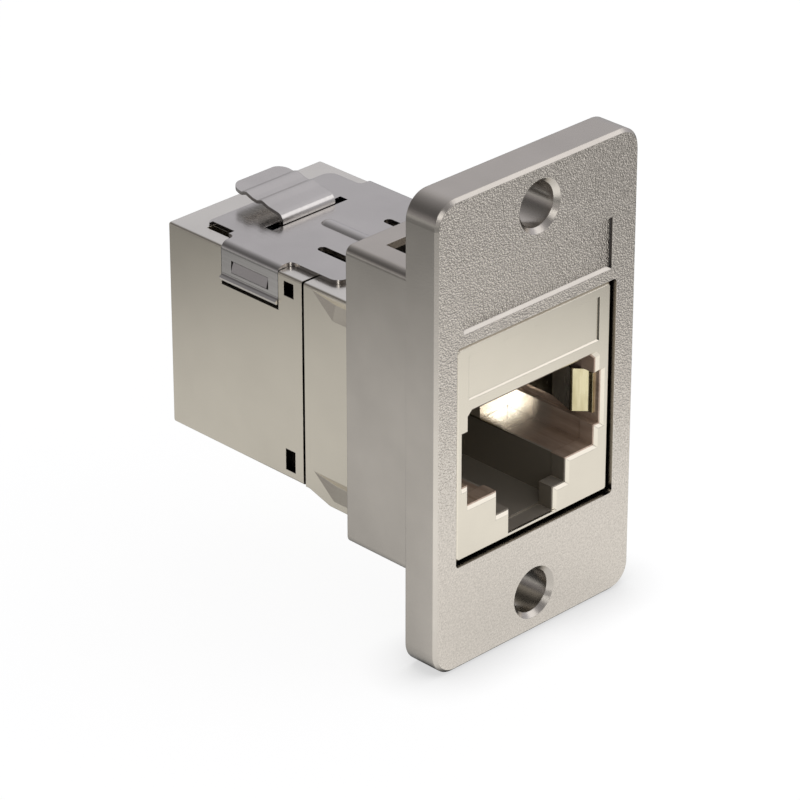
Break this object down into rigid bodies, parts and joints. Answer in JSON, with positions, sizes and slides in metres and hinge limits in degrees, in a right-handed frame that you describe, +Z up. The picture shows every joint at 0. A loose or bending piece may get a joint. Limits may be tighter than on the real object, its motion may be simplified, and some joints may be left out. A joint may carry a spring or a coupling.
{
  "type": "keystone jack in a panel frame",
  "caption": "Shielded keystone coupler jack with a socket at each end, snapped into a die-cast flange frame that screws to a panel.",
  "frame": {"origin": "halfway between the two screw holes, on the plate's back face where it meets the panel", "axes": "+X to the right seen from the front, +Y to the rear through the panel, +Z up along the plate"},
  "size_m": [0.019, 0.0284, 0.035],
  "materials": {
    "blasted_nickel": "nickel plate on a fine blasted casting",
    "satin_nickel": "satin nickel plate on a smooth casting",
    "sheet_steel": "bright rolled stainless sheet",
    "insulator": "moulded black plastic",
    "board": "lacquered circuit board",
    "gilt": "thin gold plate"
  },
  "bodies": {
    "jack": {"mounting_frame": "blasted_nickel", "front_housing": "satin_nickel", "rear_housing": "satin_nickel", "top_cover": "sheet_steel", "circuit_board": "board", "front_contact_block": "insulator", "rear_contact_block": "insulator", "front_shield_spring_left": "gilt", "front_shield_spring_right": "gilt", "rear_shield_spring_left": "gilt", "rear_shield_spring_right": "gilt", "front_contact_1": "gilt", "front_contact_2": "gilt", "front_contact_3": "gilt", "front_contact_4": "gilt", "front_contact_5": "gilt", "front_contact_6": "gilt", "front_contact_7": "gilt", "front_contact_8": "gilt", "rear_contact_1": "gilt", "rear_contact_2": "gilt", "rear_contact_3": "gilt", "rear_contact_4": "gilt", "rear_contact_5": "gilt", "rear_contact_6": "gilt", "rear_contact_7": "gilt", "rear_contact_8": "gilt"},
    "latch": {"latch_tongue": "sheet_steel"}
  },
  "joints": [
    {"name": "latch_press", "type": "hinge", "parent": "jack", "child": "latch", "pos_m": [0, 0.0192, 0.00645], "axis": [-1, 0, 0], "range_deg": [0, 8], "stiffness_Nm_per_rad": 0.12, "springref_deg": -2.86}
  ]
}
